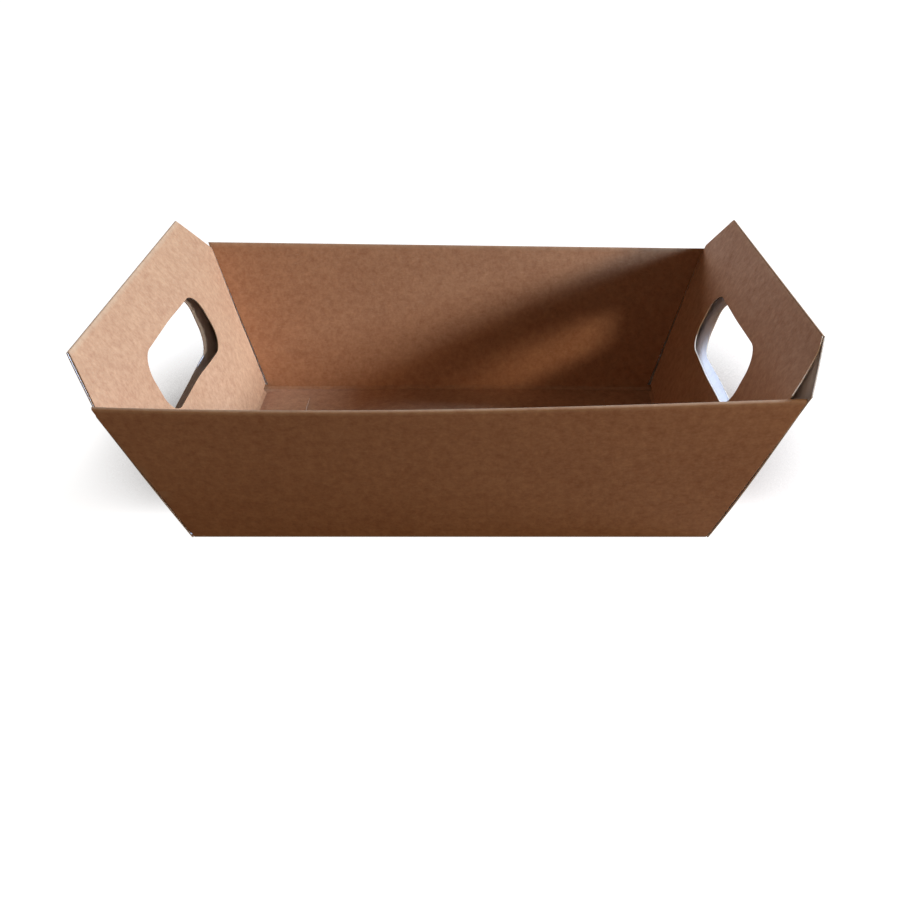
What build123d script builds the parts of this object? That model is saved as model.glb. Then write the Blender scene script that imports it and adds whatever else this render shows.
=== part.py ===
from build123d import *
from math import atan2, cos, degrees, radians, sin, tan
import os

# Kraft card tray folded from one die-cut sheet. The long walls roll over at the rim and come down
# again inside, the end walls rise into handles and do the same, and the four inner walls end in
# flaps on the floor. Millimetres, Z up, X along the tray, origin under the middle of the base.
# The brown kraft face is outside and inside the tray, the pale reverse is between the plies.

# Card
card = 0.5                 # thickness of the sheet
bend = 0.1                 # radius on the hollow side of a fold
ply_gap = 0.15             # air between two plies that lie on each other
crease_strip = 2.0         # between the two score lines at the foot of an inner wall

# Outer walls, measured on their kraft faces
base_length = 240.0
base_width = 160.0
wall_height = 81.0
side_lean = 17.2           # long walls, degrees out from upright
end_lean = 18.8            # end walls, degrees out from upright
rim_width = 1.4            # across the rolled rim of a long wall

# Handles
handle_height = 101.5      # from the table to the fold at the top of an end wall
handle_top_length = 173.0  # along that fold
handle_fold_width = 1.25   # across that fold
shoulder_rise = 2.0        # above the rim, where an end wall starts to narrow
hole_length = 87.0
hole_height = 32.5
hole_corner = 12.5
hole_below_fold = 47.2     # down the outer face from the handle's fold to the middle of the hole

# Inner end walls and floor flaps
foot_inset = 6.0           # from the end of the base to the foot of an inner end wall
wall_clearance = 0.7       # between an inner end wall and the long walls beside it
end_flap_length = 28.0
end_flap_inset = 16.0      # from the side of the base, at the fold
end_flap_taper = 12.0      # degrees, each side
side_flap_gap = 0.8        # between the two side flaps, along the middle of the floor
side_flap_inset = 4.0      # from the end of the base, at the fold
side_flap_taper = 4.0      # degrees, each end
flap_corner = 3.0

# Corner tabs, folded in behind the end walls
tab_length = 38.0
tab_foot = 3.0             # above the table
tab_top = 6.0              # below the rim
tab_taper = 10.0           # degrees, top and bottom
tab_clearance = 0.35       # between a tab and the end of an inner long wall

# What follows from them
fold_hem = 4 * (bend + card)                 # card kept straight beside a fold
base_end = base_length / 2 - (bend + card)   # clear of the ends of the long folds
side_flap_top = 2 * card + ply_gap
end_flap_top = side_flap_top + ply_gap + card
beyond = base_length + base_width            # past every face, for cutting tools

side_tan = tan(radians(side_lean))
end_tan = tan(radians(end_lean))
side_up = Vector(sin(radians(side_lean)), cos(radians(side_lean)))   # up a long wall, in its section
end_up = Vector(sin(radians(end_lean)), cos(radians(end_lean)))      # up an end wall, in its section


def to_left(along):
    """The direction a quarter turn to the left, in a section."""
    return Vector(-along.Y, along.X)


def card_section(points):
    """Section of folded card. Its kraft face runs through the points, with the card on the left."""
    lefts = [to_left((b - a).normalized()) for a, b in zip(points, points[1:])]
    reverse = [points[0] + lefts[0] * card]
    kraft_radii = []
    reverse_radii = []
    for corner, before, after in zip(points[1:], lefts, lefts[1:]):
        reverse.append(corner + (before + after) * (card / (1 + before.dot(after))))
        kraft_outside = before.cross(after).Z > 0
        kraft_radii.append(bend + card if kraft_outside else bend)
        reverse_radii.append(bend if kraft_outside else bend + card)
    reverse.append(points[-1] + lefts[-1] * card)
    front = FilletPolyline(*points, radius=kraft_radii)
    back = FilletPolyline(*reverse, radius=reverse_radii)
    return make_face([front, back, Line(front @ 0, back @ 0), Line(front @ 1, back @ 1)])


def score_lines(foot, lean):
    """The two score lines at the foot of an inner wall, from the wall to the flap."""
    setback = crease_strip / 2 / cos(radians(90 - lean) / 2)
    wall_up = Vector(sin(radians(lean)), cos(radians(lean)))
    return [foot + wall_up * setback, foot - Vector(setback, 0)]


def both_halves(half_outline):
    """A closed outline from its right half, given from bottom to top."""
    left = [(-x, y) for x, y in reversed(half_outline)]
    return make_face(Polyline(*half_outline, *left, close=True))


# Long walls: section in Y and Z

rim = Vector(base_width / 2 + wall_height * side_tan, wall_height)
rim_inside = rim + to_left(side_up) * rim_width
side_foot = Vector(rim_inside.X - (rim_inside.Y - side_flap_top) * side_tan, side_flap_top)


def inner_side_face(height):
    """Half the width between the inner long walls at a height above the table."""
    return rim_inside.X - (rim_inside.Y - height) * side_tan


# End walls: section in X and Z

handle = Vector(base_length / 2 + handle_height * end_tan, handle_height)
handle_inside = handle + to_left(end_up) * handle_fold_width
end_foot = Vector(base_length / 2 - foot_inset, end_flap_top)
end_inner_up = (handle_inside - end_foot).normalized()
end_inner_lean = degrees(atan2(end_inner_up.X, end_inner_up.Y))
shoulder = wall_height + shoulder_rise
outer_shoulder = (base_width / 2 + shoulder * side_tan, shoulder)
inner_shoulder = (inner_side_face(shoulder) - wall_clearance, shoulder)
handle_end = (handle_top_length / 2, handle_height)

# Corners: the tabs lie against the insides of the end walls

side_out = Vector(0, side_up.Y, -side_up.X)
end_out = Vector(end_up.Y, 0, -end_up.X)
corner_up = end_out.cross(side_out).normalized()
wall_in = corner_up.cross(side_out)
tab_in = end_out.cross(corner_up)
tab_face = base_length / 2 - (card + ply_gap) / end_up.Y     # where its plane meets the table
corner = Plane(origin=(tab_face, base_width / 2, 0), x_dir=wall_in, z_dir=corner_up)
corner_setback = (bend + card) / tan(radians(wall_in.get_angle(tab_in) / 2))


def base():
    """The flat base between its four folds."""
    return Box(2 * base_end, base_width - 2 * fold_hem, card,
               align=(Align.CENTER, Align.CENTER, Align.MIN))


def cut_both_ends(ply, plane, about):
    """A symmetric ply cut by a plane at one end and by its mirror image at the other."""
    once = split(ply, bisect_by=plane, keep=Keep.BOTTOM)
    return split(mirror(once, about=about), bisect_by=plane, keep=Keep.BOTTOM)


def long_side():
    """A long wall: fold at the base, outer wall, rolled rim, inner wall and floor flap."""
    hem = rim_inside - side_up * fold_hem
    scores = score_lines(side_foot, side_lean)
    flap_edge = Vector(side_flap_gap / 2, side_flap_top)
    base_edge = Vector(base_width / 2 - fold_hem, 0)
    fold_line = Vector(base_width / 2, 0)
    outer_ply = Plane.YZ * card_section([base_edge, fold_line, rim, rim_inside, hem])
    inner_ply = Plane.YZ * card_section([hem, *scores, flap_edge])
    outer_ply = extrude(outer_ply, beyond, both=True)
    inner_ply = extrude(inner_ply, beyond, both=True)

    tab_fold = Plane(origin=corner.origin + wall_in * corner_setback, z_dir=-wall_in)
    outer_wall = cut_both_ends(outer_ply, tab_fold, Plane.YZ)

    foot_level = Plane.XY.offset(scores[0].Y + bend + card)
    behind_tab = 2 * card + ply_gap + tab_clearance
    beside_tab = Plane(origin=Vector(base_length / 2, 0, 0) - end_out * behind_tab, z_dir=end_out)
    inner_wall = split(inner_ply, bisect_by=foot_level, keep=Keep.TOP)
    inner_wall = cut_both_ends(inner_wall, beside_tab, Plane.YZ)

    half_fold = base_length / 2 - side_flap_inset
    half_edge = half_fold - (scores[1].X - flap_edge.X) * tan(radians(side_flap_taper))
    outline = both_halves([(half_edge, flap_edge.X), (half_fold, scores[1].X), (half_fold, beyond)])
    flap = split(inner_ply, bisect_by=foot_level, keep=Keep.BOTTOM)
    flap = flap & extrude(outline, beyond, both=True)
    flap = fillet(flap.edges().filter_by(Axis.Z).sort_by(Axis.Y)[:2], flap_corner)
    return outer_wall + inner_wall + flap


def edge_plane(low, high):
    """The plane along X through two points of an end wall's edge, given in Y and Z from the low one."""
    along = Vector(0, high[0] - low[0], high[1] - low[1]).normalized()
    return Plane(origin=(0, *low), z_dir=along.cross(Vector(1, 0, 0)))


def hand_hole():
    """The rounded hole through both plies of an end wall, square to its outer face."""
    middle = handle - end_up * hole_below_fold
    face = Plane(origin=(middle.X, 0, middle.Y), x_dir=(0, 1, 0), z_dir=end_out)
    outline = face * RectangleRounded(hole_length, hole_height, hole_corner)
    return extrude(outline, 3 * foot_inset, both=True)


def end_side():
    """An end wall: fold at the base, outer wall, handle fold, inner wall and floor flap."""
    hem = handle_inside - end_inner_up * fold_hem
    scores = score_lines(end_foot, end_inner_lean)
    flap_edge = Vector(end_foot.X - end_flap_length, end_flap_top)
    base_edge = Vector(base_end, 0)
    fold_line = Vector(base_length / 2, 0)
    outer_ply = Plane.XZ * card_section([base_edge, fold_line, handle, handle_inside, hem])
    inner_ply = Plane.XZ * card_section([hem, *scores, flap_edge])
    outer_ply = extrude(outer_ply, beyond, both=True)
    inner_ply = extrude(inner_ply, beyond, both=True)

    outer_wall = cut_both_ends(outer_ply, edge_plane((base_width / 2, 0), outer_shoulder), Plane.XZ)
    outer_wall = cut_both_ends(outer_wall, edge_plane(outer_shoulder, handle_end), Plane.XZ)

    foot_level = Plane.XY.offset(scores[0].Y + bend + card)
    inner_foot = (inner_side_face(0) - wall_clearance, 0)
    inner_wall = split(inner_ply, bisect_by=foot_level, keep=Keep.TOP)
    inner_wall = cut_both_ends(inner_wall, edge_plane(inner_foot, inner_shoulder), Plane.XZ)
    inner_wall = cut_both_ends(inner_wall, edge_plane(inner_shoulder, handle_end), Plane.XZ)

    half_fold = base_width / 2 - end_flap_inset
    half_edge = half_fold - end_flap_length * tan(radians(end_flap_taper))
    outline = both_halves([(half_edge, flap_edge.X), (half_fold, end_foot.X), (half_fold, beyond)])
    flap_plane = Plane(origin=(0, 0, 0), x_dir=(0, 1, 0), z_dir=(0, 0, -1))
    flap = split(inner_ply, bisect_by=foot_level, keep=Keep.BOTTOM)
    flap = flap & extrude(flap_plane * outline, beyond, both=True)
    flap = fillet(flap.edges().filter_by(Axis.Z).sort_by(Axis.X)[:2], flap_corner)
    return outer_wall + inner_wall + flap - hand_hole()


def corner_tab():
    """A tab at the end of a long wall, folded round the corner behind the end wall."""
    tab_end = Vector(tab_in.dot(corner.x_dir), tab_in.dot(corner.y_dir)) * tab_length
    section = card_section([tab_end, Vector(0, 0), Vector(corner_setback + fold_hem, 0)])
    foot = tab_foot / corner_up.Z
    top = (wall_height - tab_top) / corner_up.Z
    tab = extrude(corner.offset(foot) * section, top - foot)
    slant = Vector(0, -1, 0) * sin(radians(tab_taper))
    upright = Vector(end_up.X, 0, end_up.Y) * cos(radians(tab_taper))
    for height, square in ((foot, -upright), (top, upright)):
        cut = Plane(origin=corner.origin + corner_up * height, z_dir=square + slant)
        tab = split(tab, bisect_by=cut, keep=Keep.BOTTOM)
    across = tab.edges().filter_by(Axis((0, 0, 0), tuple(end_out)))
    return fillet(across.sort_by(Axis.Y)[:2], flap_corner)


def folded_tray():
    """The whole sheet as one solid."""
    half_pieces = [end_side(), corner_tab(), mirror(corner_tab(), about=Plane.XZ)]
    side = long_side()
    pieces = [side, mirror(side, about=Plane.XZ)]
    pieces += half_pieces + [mirror(piece, about=Plane.YZ) for piece in half_pieces]
    return base() + pieces


os.makedirs("parts", exist_ok=True)
tray = folded_tray()
export_step(tray, "parts/folded_tray.step")
size = tray.bounding_box().size
print("folded_tray: solids", len(tray.solids()), "volume", round(tray.volume), "size", size)
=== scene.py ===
import bpy, bmesh
from math import cos, pi, radians, sin, tan
from mathutils import Matrix, Vector


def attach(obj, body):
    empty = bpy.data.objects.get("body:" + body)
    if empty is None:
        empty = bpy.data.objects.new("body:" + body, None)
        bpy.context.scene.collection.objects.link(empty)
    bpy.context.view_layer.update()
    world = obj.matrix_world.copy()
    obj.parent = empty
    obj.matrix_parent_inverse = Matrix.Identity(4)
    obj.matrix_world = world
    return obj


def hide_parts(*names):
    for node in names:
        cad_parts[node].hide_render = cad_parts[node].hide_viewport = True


# A kraft card tray folded from one sheet. Each strip of the sheet is a section with rounded folds,
# swept along its fold lines, trimmed as the die cut it and then warped a little, as thin card is.
# The strips are modelled in millimetres and brought to metres when they are joined.

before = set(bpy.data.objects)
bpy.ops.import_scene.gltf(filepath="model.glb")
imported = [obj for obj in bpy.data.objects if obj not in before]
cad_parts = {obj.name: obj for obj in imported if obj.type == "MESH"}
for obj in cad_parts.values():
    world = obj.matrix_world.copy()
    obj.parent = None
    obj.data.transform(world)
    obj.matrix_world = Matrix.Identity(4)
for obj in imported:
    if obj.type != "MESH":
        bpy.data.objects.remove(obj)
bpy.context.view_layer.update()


def linear(code):    # sRGB hex to the linear colour that a socket takes
    parts = [int(code[i:i + 2], 16) / 255 for i in (1, 3, 5)]
    return [p / 12.92 if p < 0.04045 else ((p + 0.055) / 1.055) ** 2.4 for p in parts] + [1]


# the sheet

tray = {
    "card": 0.5,               # thickness
    "baseLength": 240,
    "baseWidth": 160,
    "wallHeight": 81,
    "sideLean": 17.2,          # degrees out from upright
    "endLean": 18.8,
    "rimWidth": 1.7,           # across the rolled rim
    "rimRound": (1.1, 0.55),   # outer and inner edge of the roll
    "handleHeight": 101.5,
    "handleTop": 173,          # along the fold on top of a handle
    "handleWidth": 1.25,
    "shoulder": 83,            # where an end wall starts to narrow
    "hole": (87, 32.5, 12.5),  # length, height, corner radius
    "holeDown": 47.2,          # below the fold on top, along either ply, to its middle
    "footInset": 6,            # inner end wall, from the end of the base
    "endGap": (0.7, 0.3),      # between an inner end wall and the long walls, at its foot and its shoulder
    "cornerGap": (1.6, 0.3, 60),    # inner end wall to inner long walls, at the foot and then this high up
    "creaseStrip": 2,          # between the two scores at the foot of an inner wall
    "endFlap": (28, 8, 12),    # length, inset, taper in degrees
    "sideFlap": (0.4, 4, 4),   # half the gap along the middle, inset, taper
    "flapRound": 3,
    "tab": (38, 3, 75, 10),    # length, bottom, top, taper
    "tabGap": 0.35,            # to the end of the inner long wall
    "plyGap": 0.15,
    "hem": 3,                  # how far a rolled or folded edge runs down inside to meet its inner ply
    "baseMargin": (0.6, 3),    # of the base, at its ends and its sides, which comes with the walls
    "foldRound": 0.6,          # where the kraft face is outside
    "scoreRound": 0.35,        # where it is inside
    "foldEdge": 1.2,           # how far a fold marks the card beside it
    "rowStep": 7,              # between the rows that the warps bend
    "roundSteps": 5,           # faces round a fold or a flap's corner
    "holeSteps": 32,           # faces round a hand hole
    "sharpFrom": 35,           # degrees between two faces, past which their edge stays crisp
}

card, plyGap, foldRound, scoreRound = (tray[k] for k in ("card", "plyGap", "foldRound", "scoreRound"))
halfLength, halfWidth = tray["baseLength"] / 2, tray["baseWidth"] / 2
hem, (endMargin, sideMargin) = tray["hem"], tray["baseMargin"]
sideLean, endLean = radians(tray["sideLean"]), radians(tray["endLean"])
sideUp, endUp = Vector((sin(sideLean), cos(sideLean))), Vector((sin(endLean), cos(endLean)))
sideOut, endOut = Vector((0, sideUp.y, -sideUp.x)), Vector((endUp.y, 0, -endUp.x))
sideTan, endTan = tan(sideLean), tan(endLean)
far = 400     # a strip is swept this far both ways before it is trimmed
near = 0.01   # points closer than this count as one place


def toLeft(v):
    return Vector((-v.y, v.x))


def sweepStrip(path, rounds, place):
    # the kraft face is on the right of the path; "fold" is 1 on a fold with the kraft outside
    # and -1 on one with it inside
    strip = bmesh.new()
    fold = strip.verts.layers.float.new("fold")
    path = [Vector(p) for p in path]
    radius = dict(enumerate(rounds, 1))
    corners, line = {}, []
    for i, point in enumerate(path):
        corners[i] = strip.verts.new((*point, -far))
        line.append(corners[i])
        if i + 1 < len(path):    # a vertex beside each fold keeps its mark narrow
            span = path[i + 1] - point
            beside = tray["foldEdge"] + 2 * foldRound
            if span.length > 3 * beside:
                along = span.normalized() * beside
                line += [strip.verts.new((*spot, -far)) for spot in (point + along, path[i + 1] - along)]
    for pair in zip(line, line[1:]):
        strip.edges.new(pair)
    for i, r in radius.items():
        before, after = path[i] - path[i - 1], path[i + 1] - path[i]
        made = bmesh.ops.bevel(strip, geom=[corners[i]], offset=r * tan(before.angle(after) / 2),
                               segments=tray["roundSteps"], profile=0.5, affect="VERTICES", material=-1)
        for v in made["verts"]:
            v[fold] = 1 if before.x * after.y > before.y * after.x else -1
    swept = bmesh.ops.extrude_edge_only(strip, edges=strip.edges[:])["geom"]
    ends = [v for v in swept if isinstance(v, bmesh.types.BMVert)]
    bmesh.ops.translate(strip, verts=ends, vec=(0, 0, 2 * far))
    bmesh.ops.recalc_face_normals(strip, faces=strip.faces[:])
    start, along = line[0].link_faces[0], path[1] - path[0]
    if start.normal.dot(Vector((along.y, -along.x, 0))) < 0:
        bmesh.ops.reverse_faces(strip, faces=strip.faces[:])
    bmesh.ops.transform(strip, matrix=place, verts=strip.verts[:])
    return strip


def trim(strip, spot, outward):
    bmesh.ops.bisect_plane(strip, geom=strip.verts[:] + strip.edges[:] + strip.faces[:],
                           plane_co=spot, plane_no=outward, clear_outer=True)


def trimBothEnds(strip, spot, outward, axis):
    spot, outward = Vector(spot), Vector(outward)
    trim(strip, spot, outward)
    spot[axis], outward[axis] = -spot[axis], -outward[axis]
    trim(strip, spot, outward)


def across(low, high):    # the direction out of an end wall's edge, from two of its points in Y and Z
    return Vector((0, high[1] - low[1], low[0] - high[0])).normalized()


def cutHole(strip, top, plyUp, slip):
    # the planes round the hole close in on it one by one, and what is inside them all goes
    length, height, corner = tray["hole"]
    flatLength, flatHeight = length / 2 - corner, height / 2 - corner
    along, up = Vector((0, 1, 0)), Vector((plyUp.x, 0, plyUp.y))
    middle = Vector((top.x, 0, top.y)) + along * slip[0] + up * (slip[1] - tray["holeDown"])
    inside = strip.faces[:]
    for k in range(tray["holeSteps"]):
        turn = 2 * pi * k / tray["holeSteps"]
        outward = along * cos(turn) + up * sin(turn)
        sides = [(a > near) - (a < -near) for a in (cos(turn), sin(turn))]
        spot = middle + along * sides[0] * flatLength + up * sides[1] * flatHeight + outward * corner
        around = {e for f in inside for e in (*f.verts, *f.edges)}
        cut = bmesh.ops.bisect_plane(strip, geom=inside + list(around), plane_co=spot, plane_no=outward)
        inside = [f for f in cut["geom"] if isinstance(f, bmesh.types.BMFace)
                  and (f.calc_center_median() - spot).dot(outward) < 0]
    bmesh.ops.delete(strip, geom=inside, context="FACES")


def roundCorners(strip, axis):    # the two corners at the free edge of a flap or tab
    edge = min(abs(v.co[axis]) for v in strip.verts)
    free = [v for v in strip.verts if abs(abs(v.co[axis]) - edge) < near and len(v.link_edges) == 2]
    bmesh.ops.bevel(strip, geom=free, offset=tray["flapRound"], segments=tray["roundSteps"], profile=0.5,
                    affect="VERTICES", material=-1)


def addRows(strip, axes):
    step = tray["rowStep"]
    for axis in axes:
        reach = max(abs(v.co[axis]) for v in strip.verts)
        for k in range(-int(reach / step) - 1, int(reach / step) + 1):
            spot, outward = Vector(), Vector()
            spot[axis], outward[axis] = (k + 0.5) * step, 1
            bmesh.ops.bisect_plane(strip, geom=strip.verts[:] + strip.edges[:] + strip.faces[:],
                                   plane_co=spot, plane_no=outward)


# sections, each as sideways distance and height

rim = Vector((halfWidth + tray["wallHeight"] * sideTan, tray["wallHeight"]))
rimInside = rim + toLeft(sideUp) * tray["rimWidth"]
sideFlapTop = 2 * card + plyGap
sideFoot = Vector((rimInside.x - (rimInside.y - sideFlapTop) * sideTan, sideFlapTop))
handle = Vector((halfLength + tray["handleHeight"] * endTan, tray["handleHeight"]))
handleInside = handle + toLeft(endUp) * tray["handleWidth"]
endFlapTop = sideFlapTop + plyGap + card
endFoot = Vector((halfLength - tray["footInset"], endFlapTop))
innerEndUp = (handleInside - endFoot).normalized()
shoulder, handleEnd = tray["shoulder"], (tray["handleTop"] / 2, tray["handleHeight"])


def innerSideFace(height):
    return rimInside.x - (rimInside.y - height) * sideTan


def scores(foot, up):
    setback = tray["creaseStrip"] / 2 / cos(up.angle(Vector((1, 0))) / 2)
    return [foot + up * setback, foot - Vector((setback, 0))]


# places: a long wall's section stands in Y and Z, an end wall's in X and Z

sidePlace = Matrix(((0, 0, 1), (1, 0, 0), (0, 1, 0))).to_4x4()
endPlace = Matrix(((1, 0, 0), (0, 0, -1), (0, 1, 0))).to_4x4()
cornerUp = endOut.cross(sideOut).normalized()
wallIn, tabIn = cornerUp.cross(sideOut), endOut.cross(cornerUp)
cornerSpot = Vector((halfLength - (card + plyGap) / endUp.y, halfWidth, 0))
cornerSide = cornerUp.cross(wallIn)
cornerPlace = Matrix((wallIn, cornerSide, cornerUp)).transposed().to_4x4()
cornerPlace.translation = cornerSpot
cornerFold = foldRound / tan(wallIn.angle(tabIn) / 2)    # from the corner to where its fold starts to round


def outerSide():
    section = [(halfWidth - sideMargin, 0), (halfWidth, 0), rim, rimInside, rimInside - sideUp * hem]
    strip = sweepStrip(section, [foldRound, *tray["rimRound"]], sidePlace)
    trimBothEnds(strip, cornerSpot + wallIn * cornerFold, -wallIn, 0)
    addRows(strip, (0, 2))
    return strip


def innerSide():
    top = scores(sideFoot, sideUp)[0]
    strip = sweepStrip([rimInside - sideUp * hem, top + sideUp], [], sidePlace)
    behindTab = 2 * card + plyGap + tray["tabGap"]
    trimBothEnds(strip, Vector((halfLength, 0, 0)) - endOut * behindTab, endOut, 0)
    low, high, height = tray["cornerGap"]
    run = height * innerEndUp.x / innerEndUp.y + low - high
    trimBothEnds(strip, (endFoot.x - low, 0, endFoot.y), Vector((height, 0, -run)).normalized(), 0)
    addRows(strip, (0, 2))
    return strip


def sideFlap():
    top, foot = scores(sideFoot, sideUp)
    gap, inset, taper = tray["sideFlap"]
    strip = sweepStrip([top + sideUp, top, foot, (gap, sideFlapTop)], [scoreRound, scoreRound], sidePlace)
    taper = radians(taper)
    trimBothEnds(strip, (halfLength - inset, foot.x, 0), (cos(taper), -sin(taper), 0), 0)
    roundCorners(strip, 1)
    addRows(strip, (0, 1))
    return strip


def outerEnd(side):
    section = [(halfLength - endMargin, 0), (halfLength, 0),
               handle, handleInside, handleInside - innerEndUp * hem]
    strip = sweepStrip(section, [foldRound, foldRound, foldRound], endPlace)
    outerShoulder = (halfWidth + shoulder * sideTan - warp["outerEnd"][side]["shy"], shoulder)
    trimBothEnds(strip, (0, halfWidth, 0), sideOut, 1)
    trimBothEnds(strip, (0, *outerShoulder), across(outerShoulder, handleEnd), 1)
    cutHole(strip, handle, endUp, warp["outerEnd"][side]["slip"])
    addRows(strip, (1, 2))
    return strip


def innerEnd(side):
    top = scores(endFoot, innerEndUp)[0]
    strip = sweepStrip([handleInside - innerEndUp * hem, top + innerEndUp], [], endPlace)
    innerFoot, innerShoulder = ((innerSideFace(z) - gap, z) for z, gap in zip((0, shoulder), tray["endGap"]))
    trimBothEnds(strip, (0, *innerFoot), across(innerFoot, innerShoulder), 1)
    innerShoulder = (innerShoulder[0] - warp["innerEnd"][side]["shy"], shoulder)
    trimBothEnds(strip, (0, *innerShoulder), across(innerShoulder, handleEnd), 1)
    cutHole(strip, handleInside, innerEndUp, warp["innerEnd"][side]["slip"])
    addRows(strip, (1, 2))
    return strip


def endFlap():
    top, foot = scores(endFoot, innerEndUp)
    length, inset, taper = tray["endFlap"]
    section = [top + innerEndUp, top, foot, (endFoot.x - length, endFlapTop)]
    strip = sweepStrip(section, [scoreRound, scoreRound], endPlace)
    taper = radians(taper)
    trimBothEnds(strip, (endFoot.x, halfWidth - inset, 0), (-sin(taper), cos(taper), 0), 1)
    roundCorners(strip, 0)
    addRows(strip, (0, 1))
    return strip


def cornerTab():
    length, low, high, taper = tray["tab"]
    tabEnd = Vector((tabIn.dot(wallIn), tabIn.dot(cornerSide))) * length
    strip = sweepStrip([tabEnd, (0, 0), (cornerFold + near, 0)], [foldRound], cornerPlace)
    slant = Vector((0, -1, 0)) * sin(radians(taper))
    up = Vector((endUp.x, 0, endUp.y)) * cos(radians(taper))
    for height, square in ((low, -up), (high, up)):
        trim(strip, cornerSpot + cornerUp * height / cornerUp.z, square + slant)
    addRows(strip, (1, 2))
    return strip


def base():
    strip = bmesh.new()
    bmesh.ops.create_grid(strip, x_segments=1, y_segments=1, size=1)
    bmesh.ops.scale(strip, vec=(halfLength - endMargin, halfWidth - sideMargin, 1), verts=strip.verts[:])
    bmesh.ops.reverse_faces(strip, faces=strip.faces[:])
    addRows(strip, (0, 1))
    return strip


# The card has sprung a little out of flat: how far corners and plies stand from their places

warp = {
    # corners of the rim and of the handles: left front, right front, left rear, right rear
    "rim": ((1.6, 0.3, -1.3), (0.4, 0.2, 1.1), (1.7, 1.0, 2.4), (-2.0, -0.4, -4.0)),
    "handle": ((-2.6, -2.2, -3.8), (1.4, -0.1, 1.3), (-2.5, -0.6, 0.7), (1.0, -0.8, -2.9)),
    # each ply of an end wall, away from the other ply: at its middle, more at the front and the rear end of
    # the hole, and at the front shoulder; shy is how far a shoulder stays short of the long wall's corner,
    # slip how far the hole lies along the wall and up it
    "outerEnd": {
        "left": {"middle": 1.6, "beside": (-0.4, 1), "shoulder": -0.8, "shy": 6.6, "slip": (-0.3, 1.5)},
        "right": {"middle": 4, "beside": (0, -0.5), "shoulder": -0.6, "shy": 0, "slip": (-0.7, 0)},
    },
    "innerEnd": {
        "left": {"middle": 0.7, "beside": (0, 3), "shoulder": -0.6, "shy": 4.4, "slip": (-2.5, 3)},
        "right": {"middle": 1.7, "beside": (-0.8, -0.6), "shoulder": 6.3, "shy": 0, "slip": (2.4, 2.7)},
    },
    "springTop": 97.5,         # height where the plies meet again, below the fold on top
    "springEnd": (105, 90),    # from the middle to where a ply is back in place: its main bow, the one beside
    "rimSize": (300, 210),     # how far apart the corners that "rim" moves are
    "flareFrom": 78,           # height from which the handles' own warp grows
    "frontBow": 3.9,           # the front wall's rim, bowed out between its corners
    "bowLength": 294,
    "bowSkew": 0.85,           # under 1 it is fullest left of the middle
    "bowRise": 1.5,            # over 1 it gathers toward the rim
    "rearFoot": (3, 76),       # slide of the inner rear wall's foot at its right end, gone at this height
    "flapLift": (0.9, 60),     # the rear edge of an end flap, off the flap below, growing over this far back
}


def between(corners, x, y):
    length, width = warp["rimSize"]
    u, v = x / length + 0.5, y / width + 0.5
    low, high = (Vector(corners[k]).lerp(Vector(corners[k + 1]), u) for k in (0, 2))
    return low.lerp(high, v)


def smooth(t):
    t = min(max(t, 0), 1)
    return t * t * (3 - 2 * t)


def springOpen(strip, spring, outward):
    top, (wide, narrow) = warp["springTop"], warp["springEnd"]
    for v in strip.verts:
        x, y, z = v.co
        aside, rear = abs(y), y > 0
        push = spring["middle"] * cos(pi / 2 * min(aside / wide, 1))
        push += spring["beside"][rear] * sin(pi * min(aside / narrow, 1))
        push *= sin(pi * min(max(z / top, 0), 1))
        if not rear:
            level = smooth(z / shoulder) if z < shoulder else min(max((top - z) / (top - shoulder), 0), 1)
            push += spring["shoulder"] * level * min(aside / wide, 1) ** 3
        v.co.x += push * outward


def bowFront(strip):
    for v in strip.verts:
        if v.co.y < 0:
            u = min(max(v.co.x / warp["bowLength"] + 0.5, 0), 1)
            rise = (max(v.co.z, 0) / tray["wallHeight"]) ** warp["bowRise"]
            bow = warp["frontBow"] * sin(pi * u ** warp["bowSkew"]) * rise
            v.co -= Vector((0, sideUp.y, sideUp.x)) * bow


def slideFoot(strip):
    slide, height = warp["rearFoot"]
    for v in strip.verts:
        if v.co.x > 0 and v.co.y > 0:
            share = smooth(v.co.x / halfLength) * smooth(v.co.y / halfWidth)
            v.co.y -= slide * share * min(max(1 - v.co.z / height, 0), 1)


def liftFlap(strip):    # most a quarter of the way from its fold to its free edge
    fold = endFoot.x - tray["creaseStrip"]
    lift, back = warp["flapLift"]
    for v in strip.verts:
        off = min(max((fold - abs(v.co.x)) / tray["endFlap"][0], 0), 1)
        v.co.z += lift * sin(pi * off ** 0.5) * smooth(v.co.y / back)


def twist(strip, flared):
    wallTop, top, flareFrom = tray["wallHeight"], tray["handleHeight"], warp["flareFrom"]
    rimHalf, handleHalf = warp["rimSize"][1] / 2, tray["handleTop"] / 2
    for v in strip.verts:
        x, y, z = v.co
        shift = between(warp["rim"], x, y) * (z / wallTop)
        if flared:
            wide = y * rimHalf / handleHalf
            extra = between(warp["handle"], x, wide) - between(warp["rim"], x, wide) * (top / wallTop)
            shift += extra * max((z - flareFrom) / (top - flareFrom), 0)
        v.co += shift


def join(sheet, strip):
    loose = bpy.data.meshes.new("strip")
    strip.to_mesh(loose)
    strip.free()
    sheet.from_mesh(loose)
    bpy.data.meshes.remove(loose)


def mirrored(strip, x, y):    # from the right rear, where each strip is made
    bmesh.ops.scale(strip, vec=(x, y, 1), verts=strip.verts[:])
    if x * y < 0:
        bmesh.ops.reverse_faces(strip, faces=strip.faces[:])
    return strip


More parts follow.
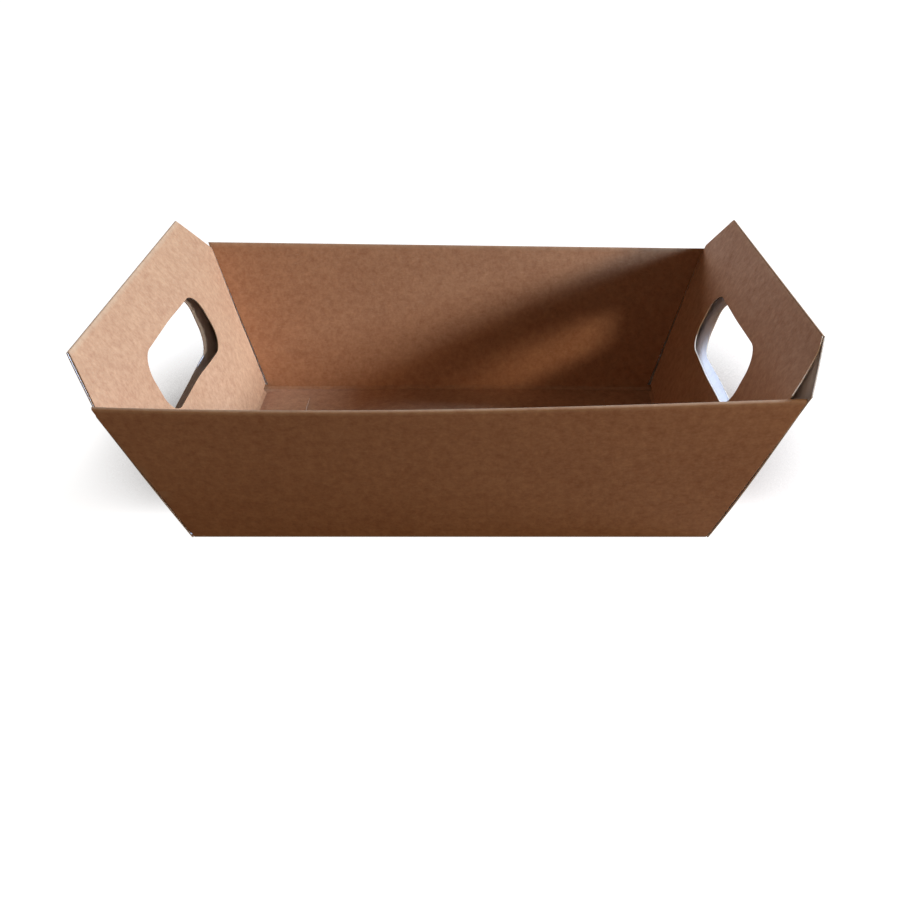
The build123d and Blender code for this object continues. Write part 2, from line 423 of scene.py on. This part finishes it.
def buildTray():
    sheet = bmesh.new()
    join(sheet, base())
    for y in (1, -1):
        for make in (outerSide, innerSide, sideFlap):
            strip = mirrored(make(), 1, y)
            if make is not sideFlap:
                bowFront(strip)
            if make is not outerSide:
                slideFoot(strip)
            twist(strip, False)
            join(sheet, strip)
        for x in (1, -1):
            strip = mirrored(cornerTab(), x, y)
            bowFront(strip)
            twist(strip, False)
            join(sheet, strip)
    for side, x in (("right", 1), ("left", -1)):
        outer, inner, flap = (mirrored(strip, x, 1) for strip in (outerEnd(side), innerEnd(side), endFlap()))
        springOpen(outer, warp["outerEnd"][side], x)
        springOpen(inner, warp["innerEnd"][side], -x)
        springOpen(flap, warp["innerEnd"][side], -x)
        slideFoot(inner)
        slideFoot(flap)
        liftFlap(flap)
        for strip in (outer, inner, flap):
            twist(strip, strip is not flap)
            join(sheet, strip)
    bmesh.ops.remove_doubles(sheet, verts=sheet.verts[:], dist=2 * near)    # the strips become one sheet
    bmesh.ops.scale(sheet, vec=(0.001, 0.001, 0.001), verts=sheet.verts[:])
    mesh = bpy.data.meshes.new("folded_sheet")
    sheet.to_mesh(mesh)
    sheet.free()
    piece = bpy.data.objects.new("folded_sheet", mesh)
    bpy.context.collection.objects.link(piece)
    for finish in (kraftLiner, paleReverse, cutEdge):
        mesh.materials.append(finish)
    thick = piece.modifiers.new("thickness", "SOLIDIFY")
    thick.thickness, thick.offset = card / 1000, -1
    thick.use_even_offset = True
    thick.material_offset, thick.material_offset_rim = 1, 2
    solid = bpy.data.meshes.new_from_object(piece.evaluated_get(bpy.context.evaluated_depsgraph_get()))
    piece.modifiers.clear()
    piece.data = solid
    solid.name = "folded_sheet"
    solid.shade_smooth()
    solid.set_sharp_from_angle(angle=radians(tray["sharpFrom"]))
    print("sheet:", len(solid.polygons), "faces")
    return piece


# materials

bumpHeight = 0.0001    # a tenth of a millimetre at most, as on any rough card


def addNode(tree, kind, links=None, **settings):
    node = tree.nodes.new(kind)
    for name, value in settings.items():
        setattr(node, name, value)
    for socket, value in (links or {}).items():
        if isinstance(value, bpy.types.NodeSocket):
            tree.links.new(value, node.inputs[socket])
        else:
            node.inputs[socket].default_value = value
    return node


def newMaterial(name):
    material = bpy.data.materials.new(name)
    material.use_nodes = True
    tree = material.node_tree
    return material, tree, tree.nodes["Principled BSDF"]


def objectNoise(tree, spacing, detail, stretch=(1, 1, 1), turn=(0, 0, 0)):
    # spacing in millimetres between one clump and the next, which is about 1.6 cells of the noise
    spot = addNode(tree, "ShaderNodeTexCoord").outputs["Object"]
    placed = addNode(tree, "ShaderNodeMapping", {"Vector": spot, "Rotation": turn, "Scale": stretch})
    return addNode(tree, "ShaderNodeTexNoise", {"Vector": placed.outputs[0], "Scale": 1600 / spacing,
                                                "Detail": detail, "Roughness": 0.6}).outputs["Fac"]


def blend(tree, factor, under, over):
    mix = addNode(tree, "ShaderNodeMix", data_type="RGBA")
    for socket, value in ((0, factor), (6, under), (7, over)):
        if isinstance(value, bpy.types.NodeSocket):
            tree.links.new(value, mix.inputs[socket])
        else:
            mix.inputs[socket].default_value = value
    return mix.outputs[2]


def sums(tree, operation, first, second, clamp=False):
    made = addNode(tree, "ShaderNodeMath", {0: first, 1: second}, operation=operation, use_clamp=clamp)
    return made.outputs[0]


def spread(tree, pattern, gain, less):    # a noise stretched to run from 0 to 1
    return sums(tree, "SUBTRACT", sums(tree, "MULTIPLY", pattern, gain), less, clamp=True)


def roughen(tree, skin, height, strength):
    bump = addNode(tree, "ShaderNodeBump", {"Height": height, "Strength": strength, "Distance": bumpHeight})
    tree.links.new(bump.outputs[0], skin.inputs["Normal"])


# Kraft linerboard, made on a paper machine and left uncoated: a matt brown that is cloudy where fibres
# clump, flecked with short hairs of fibre, paler on an outer fold (partly where the fold has stretched it,
# partly a painted highlight), with a painted shade inside a crease, and with a soft sheen seen low

kraft = {
    "brown": ("#A46B42", "#C1895C"),   # between the clumps and on them
    "fibre": "#CFA47C",
    "wearAndHighlight": "#C4996F",                 # along the outer folds: stretched fibres, and a painted highlight
    # painted shade along the inside of a crease
    "creaseShade": "#8F6242",
    "clouds": (60, 0.5),               # millimetres from one to the next, and its share in the colour
    "clumps": (6, 1.5),
    "grain": (2.3, 0.8),               # coarser than the real 0.3 mm, so that it shows
    "darkest": 0.9,                    # taken off the three together, so that they run from 0 to 1
    "hair": 3,                         # length of a fleck, drawn about three times as wide as a real fibre
    "hairStretch": (0.6, 6, 6),
    "hairTurns": ((0.3, 0.2, 0.5), (1.1, 0.4, 2.2)),    # the flecks lie two ways
    "hairShare": (0.68, 1.3),          # over this much of its noise a fleck shows, this strongly
    "wearAndHighlightShow": (0.8, 0.1),            # with the clumps, and everywhere on a fold
    "creaseShadeShow": 0.15,
    "rough": (-0.12, 0.66),            # with the colour, and everywhere
}


def makeKraftLiner():
    material, tree, skin = newMaterial("uncoated_kraft_liner")
    clumps = objectNoise(tree, kraft["clumps"][0], 2)
    grain = objectNoise(tree, kraft["grain"][0], 1)
    clouds = objectNoise(tree, kraft["clouds"][0], 1)
    parts = [sums(tree, "MULTIPLY", noise, kraft[name][1])
             for noise, name in ((clumps, "clumps"), (grain, "grain"), (clouds, "clouds"))]
    tone = sums(tree, "ADD", sums(tree, "ADD", *parts[:2]), parts[2])
    tone = sums(tree, "SUBTRACT", tone, kraft["darkest"], clamp=True)
    brown = blend(tree, tone, *(linear(code) for code in kraft["brown"]))
    hairs = []
    threshold, strength = kraft["hairShare"]
    for turn in kraft["hairTurns"]:
        fleck = objectNoise(tree, kraft["hair"], 0, kraft["hairStretch"], turn)
        fleck = sums(tree, "SUBTRACT", fleck, threshold, clamp=True)
        hairs.append(sums(tree, "MULTIPLY", fleck, strength, clamp=True))
    brown = blend(tree, sums(tree, "ADD", *hairs, clamp=True), brown, linear(kraft["fibre"]))
    fold = addNode(tree, "ShaderNodeAttribute", attribute_name="fold").outputs["Fac"]
    patchy, even = kraft["wearAndHighlightShow"]
    # outer folds paler: partly stretched fibres, partly a painted highlight on the fold
    wearAndHighlightMask = sums(tree, "ADD", sums(tree, "MULTIPLY", clumps, patchy), even)
    outside = sums(tree, "MULTIPLY", sums(tree, "MAXIMUM", fold, 0), wearAndHighlightMask, clamp=True)
    inside = sums(tree, "MAXIMUM", sums(tree, "MULTIPLY", fold, -1), 0)
    brown = blend(tree, outside, brown, linear(kraft["wearAndHighlight"]))
    # painted shade darkens the inside of each crease
    brown = blend(tree, sums(tree, "MULTIPLY", inside, kraft["creaseShadeShow"]), brown, linear(kraft["creaseShade"]))
    tree.links.new(brown, skin.inputs["Base Color"])
    patchy, even = kraft["rough"]
    tree.links.new(sums(tree, "ADD", sums(tree, "MULTIPLY", tone, patchy), even), skin.inputs["Roughness"])
    skin.inputs["Specular IOR Level"].default_value = 0.42
    skin.inputs["Sheen Weight"].default_value = 0.05
    skin.inputs["Sheen Roughness"].default_value = 0.5
    roughen(tree, skin, tone, 0.3)
    return material


# The back of the sheet, bleached recycled fibre: off-white and dry, with a faint grey cloudiness

reverse = {
    "white": ("#F6EAE2", "#FDF4ED"),
    "clumps": 5,
}


def makePaleReverse():
    material, tree, skin = newMaterial("bleached_card_back")
    tone = spread(tree, objectNoise(tree, reverse["clumps"], 3), 2.2, 0.6)
    tree.links.new(blend(tree, tone, *(linear(code) for code in reverse["white"])), skin.inputs["Base Color"])
    skin.inputs["Roughness"].default_value = 0.85
    skin.inputs["Specular IOR Level"].default_value = 0.3
    roughen(tree, skin, tone, 0.3)
    return material


# The die-cut edge: brown liner over pale pulp, a soft cream line with torn fibres

edge = {
    "pulp": ("#B8946E", "#DCC6AA"),
    "tufts": 0.9,
}


def makeCutEdge():
    material, tree, skin = newMaterial("die_cut_pulp")
    tufts = spread(tree, objectNoise(tree, edge["tufts"], 2), 2.4, 0.7)
    tree.links.new(blend(tree, tufts, *(linear(code) for code in edge["pulp"])), skin.inputs["Base Color"])
    skin.inputs["Roughness"].default_value = 0.9
    skin.inputs["Specular IOR Level"].default_value = 0.2
    roughen(tree, skin, tufts, 0.6)
    return material


kraftLiner = makeKraftLiner()
paleReverse = makePaleReverse()
cutEdge = makeCutEdge()
print("card finishes made")

sheetPiece = buildTray()
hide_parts("folded_tray")
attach(sheetPiece, "root")
print("tray made")

# camera

view = {
    "spot": (0.0182, -0.4824, 0.2691),
    "tilt": (-0.5058, 0.0221, 0.0401),    # about X, Y and Z, in radians
    "focal": 1039,                        # in pixels of the frame
    "frame": 901,
    "sensor": 36,
}


def makeCamera():
    camera = bpy.data.objects.new("camera", bpy.data.cameras.new("camera"))
    bpy.context.collection.objects.link(camera)
    tiltX, tiltY, tiltZ = view["tilt"]
    # a camera that looks along +Y, panned, then tipped, then rolled
    turned = Matrix.Rotation(tiltZ, 3, "Z") @ Matrix.Rotation(tiltX, 3, "X") @ Matrix.Rotation(tiltY, 3, "Y")
    right, ahead, up = turned.col
    pose = Matrix((right, up, -ahead)).transposed().to_4x4()
    pose.translation = view["spot"]
    camera.matrix_world = pose
    camera.data.sensor_width = view["sensor"]
    camera.data.lens = view["sensor"] * view["focal"] / view["frame"]
    camera.data.clip_start = 0.01
    bpy.context.scene.camera = camera


makeCamera()
print("camera placed")

# studio

light = {
    # watts, spot, width and height in metres, colour
    "window": (84, (1.5, 0.02, 0.6), (0.3, 0.24), "#ABD0FF"),        # small and far, so its shadows are crisp
    "windowEnd": (14, (1.5, -1.25, 0.68), (0.5, 0.2), "#FFEBD8"),    # what comes through the right hand hole
    "fill": (7.3, (-1, 1.4, 0.34), (0.9, 0.5), "#F8E4D6"),           # from behind, onto the right end wall
    "aim": (0, 0, 0.05),
    "world": (0.065, "#FFE0C4"),
    "gloss": 0.4,              # how white the world is in what the card reflects
}


def makeLamp(name):
    power, spot, size, code = light[name]
    lamp = bpy.data.objects.new(name, bpy.data.lights.new(name, "AREA"))
    bpy.context.collection.objects.link(lamp)
    lamp.data.shape = "RECTANGLE"
    lamp.data.energy = power
    lamp.data.size, lamp.data.size_y = size
    lamp.data.color = linear(code)[:3]
    lamp.location = spot
    lamp.rotation_euler = (Vector(light["aim"]) - Vector(spot)).to_track_quat("-Z", "Y").to_euler()


for name in ("window", "windowEnd", "fill"):
    makeLamp(name)

ground = {
    "size": 6,                       # metres from the middle to an edge
    "bounce": "#7C6A5A",             # what it sends up onto the card
    "glossFrom": (0.25, 0.5),        # metres from the tray over which the card comes to reflect it as white
    "shadeReach": 0.14,
    "shadeBehind": (-0.06, 0.03),    # over these metres in Y its shadow grows, from none
    "shadeBeside": (0.15, 0.2),      # and over these past the middle in X it ends
    "shadeDepth": 3.2,
}


def rampAcross(tree, value, start, ends=(0, 1)):
    return addNode(tree, "ShaderNodeMapRange", {"Value": value, "From Min": start[0], "From Max": start[1],
                                                "To Min": ends[0], "To Max": ends[1]}).outputs[0]


def makeFloor():
    mesh = bpy.data.meshes.new("floor")
    flat = bmesh.new()
    bmesh.ops.create_grid(flat, x_segments=1, y_segments=1, size=ground["size"])
    flat.to_mesh(mesh)
    flat.free()
    floor = bpy.data.objects.new("floor", mesh)
    bpy.context.collection.objects.link(floor)
    material, tree, skin = newMaterial("pale_floor")
    skin.inputs["Base Color"].default_value = linear(ground["bounce"])
    skin.inputs["Roughness"].default_value = 0.9
    skin.inputs["Specular IOR Level"].default_value = 0.1
    # it glows to the camera, and further off to gloss
    path = addNode(tree, "ShaderNodeLightPath")
    spot = addNode(tree, "ShaderNodeTexCoord").outputs["Object"]
    away = addNode(tree, "ShaderNodeVectorMath", {0: spot}, operation="LENGTH").outputs["Value"]
    reflected = sums(tree, "MAXIMUM", path.outputs["Is Glossy Ray"], path.outputs["Is Transmission Ray"])
    reflected = sums(tree, "MULTIPLY", reflected, rampAcross(tree, away, ground["glossFrom"]))
    strength = sums(tree, "MAXIMUM", path.outputs["Is Camera Ray"], reflected)
    # a painted soft shadow: under the leaning ends and behind the tray the glow is dimmed by ambient
    # occlusion
    around = addNode(tree, "ShaderNodeAmbientOcclusion", {"Distance": ground["shadeReach"]}, samples=4)
    apart = addNode(tree, "ShaderNodeSeparateXYZ", {0: spot})
    behind = rampAcross(tree, apart.outputs["Y"], ground["shadeBehind"])
    sideways = sums(tree, "ABSOLUTE", apart.outputs["X"], 0)
    below = rampAcross(tree, sideways, ground["shadeBeside"], (ground["shadeDepth"], 0))
    openness = sums(tree, "POWER", around.outputs["AO"], sums(tree, "MULTIPLY", behind, below))
    strength = sums(tree, "MULTIPLY", strength, openness)
    glow = addNode(tree, "ShaderNodeEmission", {"Color": (1, 1, 1, 1), "Strength": strength})
    both = addNode(tree, "ShaderNodeAddShader", {0: skin.outputs["BSDF"], 1: glow.outputs["Emission"]})
    tree.links.new(both.outputs[0], tree.nodes["Material Output"].inputs["Surface"])
    mesh.materials.append(material)


def makeWorld():    # white to the camera, dim and warm on the card
    world = bpy.data.worlds.new("studio")
    world.use_nodes = True
    bpy.context.scene.world = world
    sky = world.node_tree
    strength, code = light["world"]
    path = addNode(sky, "ShaderNodeLightPath")
    ambient = addNode(sky, "ShaderNodeBackground", {"Color": linear(code), "Strength": strength})
    white = addNode(sky, "ShaderNodeBackground", {"Color": (1, 1, 1, 1), "Strength": 1})
    seen = sums(sky, "MAXIMUM", path.outputs["Is Camera Ray"], path.outputs["Is Transmission Ray"])
    seen = sums(sky, "MAXIMUM", seen, sums(sky, "MULTIPLY", path.outputs["Is Glossy Ray"], light["gloss"]))
    both = addNode(sky, "ShaderNodeMixShader", {0: seen, 1: ambient.outputs[0], 2: white.outputs[0]})
    sky.links.new(both.outputs[0], sky.nodes["World Output"].inputs["Surface"])


makeFloor()
makeWorld()
bpy.context.scene.view_settings.view_transform = "Standard"
print("studio set")
